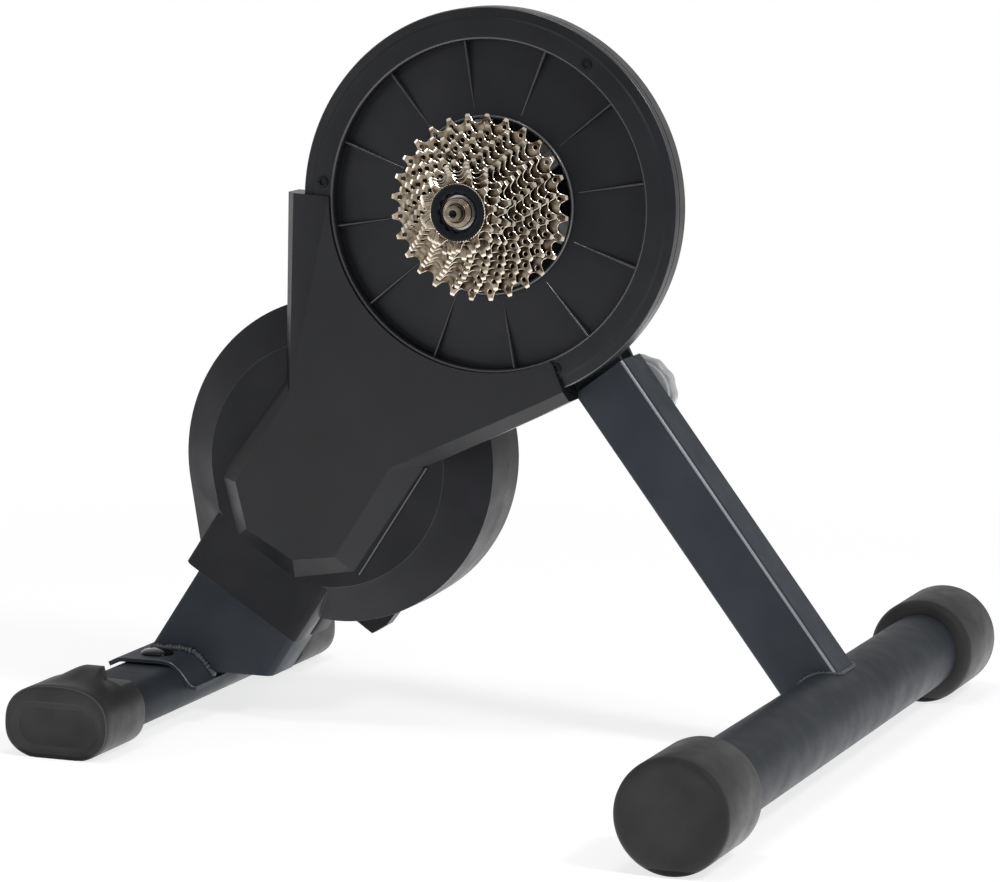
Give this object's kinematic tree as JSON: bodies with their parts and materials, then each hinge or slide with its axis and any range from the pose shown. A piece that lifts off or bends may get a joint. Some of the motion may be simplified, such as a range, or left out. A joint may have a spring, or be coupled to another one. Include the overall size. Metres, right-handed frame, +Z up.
{
  "type": "direct-drive smart bike trainer",
  "caption": "Direct-drive bike trainer: tilted leg with flywheel drum, belt housing, cassette on a hollow axle, wide rear foot and a folding front strut with round foot.",
  "frame": {"origin": "on the ground, below the wheel axle, in the bike's centre plane", "axes": "+X to the bike's front, +Y away from the chain side, +Z up"},
  "size_m": [0.5193, 0.6229, 0.4692],
  "materials": {
    "cover_plastic": "fine matte texture",
    "frame_paint": "satin powder coat",
    "cap_rubber": "matte",
    "cassette_nickel": "nickel plated",
    "bright_steel": "turned",
    "black_steel": "blackened",
    "cast_alloy": "machined",
    "machined_iron": "turned",
    "belt_rubber": "matte",
    "copper_wire": "lacquered copper",
    "circuit_board": "solder mask",
    "grey_plastic": "smooth"
  },
  "bodies": {
    "frame": {"axle_nut_drive": "bright_steel", "axle_nut_far": "bright_steel", "belt": "belt_rubber", "belt_case": "cover_plastic", "belt_cover": "cover_plastic", "brake_coils": "copper_wire", "brake_core": "machined_iron", "control_board": "circuit_board", "drum_back_shell": "cover_plastic", "drum_front_shell": "cover_plastic", "flywheel_bearing_far": "bright_steel", "flywheel_bearing_near": "bright_steel", "frame_tube": "frame_paint", "freehub_bearing_far": "bright_steel", "freehub_bearing_near": "bright_steel", "hub_axle": "bright_steel", "hub_bearing_far": "bright_steel", "hub_bearing_near": "bright_steel", "idler_axle": "black_steel", "idler_bracket": "bright_steel", "idler_lock_bolt": "black_steel", "leg_plug": "cover_plastic", "power_inlet": "cover_plastic", "pulley_cover": "cover_plastic", "rear_cap_drive": "cap_rubber", "rear_cap_far": "cap_rubber", "rear_foot_tube": "frame_paint", "rear_saddle": "frame_paint", "saddle_bolt_far": "black_steel", "saddle_bolt_near": "black_steel", "saddle_nut_far": "black_steel", "saddle_nut_near": "black_steel", "speed_sensor": "cover_plastic", "strut_bracket": "frame_paint"},
    "front_leg": {"front_strut": "frame_paint", "front_foot_tube": "frame_paint", "front_cap_drive": "cap_rubber", "front_cap_far": "cap_rubber", "hinge_pin": "bright_steel"},
    "clamp_knob": {"clamp_knob": "bright_steel"},
    "drive_pulley": {"belt_pulley": "cast_alloy"},
    "cassette": {"freehub_body": "cast_alloy", "freehub_pawls": "black_steel", "lock_ring": "black_steel", "sprocket_11t": "cassette_nickel", "sprocket_12t": "cassette_nickel", "sprocket_13t": "cassette_nickel", "sprocket_14t": "cassette_nickel", "sprocket_15t": "cassette_nickel", "sprocket_17t": "cassette_nickel", "sprocket_19t": "cassette_nickel", "sprocket_21t": "cassette_nickel", "sprocket_23t": "cassette_nickel", "sprocket_25t": "cassette_nickel", "sprocket_28t": "cassette_nickel"},
    "idler": {"idler_wheel": "grey_plastic"},
    "flywheel": {"flywheel": "machined_iron", "flywheel_shaft": "bright_steel", "flywheel_pulley": "cast_alloy"}
  },
  "joints": [
    {"name": "flywheel_spin", "type": "hinge", "parent": "frame", "child": "flywheel", "pos_m": [-0.10832, 0, 0.17272], "axis": [0, 1, 0], "continuous": true},
    {"name": "pulley_spin", "type": "hinge", "parent": "frame", "child": "drive_pulley", "pos_m": [0, 0, 0.345], "axis": [0, 1, 0], "continuous": true},
    {"name": "idler_spin", "type": "hinge", "parent": "frame", "child": "idler", "pos_m": [-0.10763, 0, 0.21954], "axis": [0, 1, 0], "continuous": true},
    {"name": "freewheel", "type": "hinge", "parent": "drive_pulley", "child": "cassette", "pos_m": [0, 0, 0.345], "axis": [0, 1, 0], "continuous": true},
    {"name": "front_fold", "type": "hinge", "parent": "frame", "child": "front_leg", "pos_m": [0.079, 0, 0.222], "axis": [0, 1, 0], "range_deg": [0, 70]},
    {"name": "knob_turn", "type": "hinge", "parent": "front_leg", "child": "clamp_knob", "pos_m": [0.079, 0.062, 0.222], "axis": [0, 1, 0], "range_deg": [-360, 0]}
  ],
  "couplings": [
    {"joint": "pulley_spin", "follows": "flywheel_spin", "ratio": 0.18144},
    {"joint": "idler_spin", "follows": "flywheel_spin", "ratio": 1.6}
  ]
}
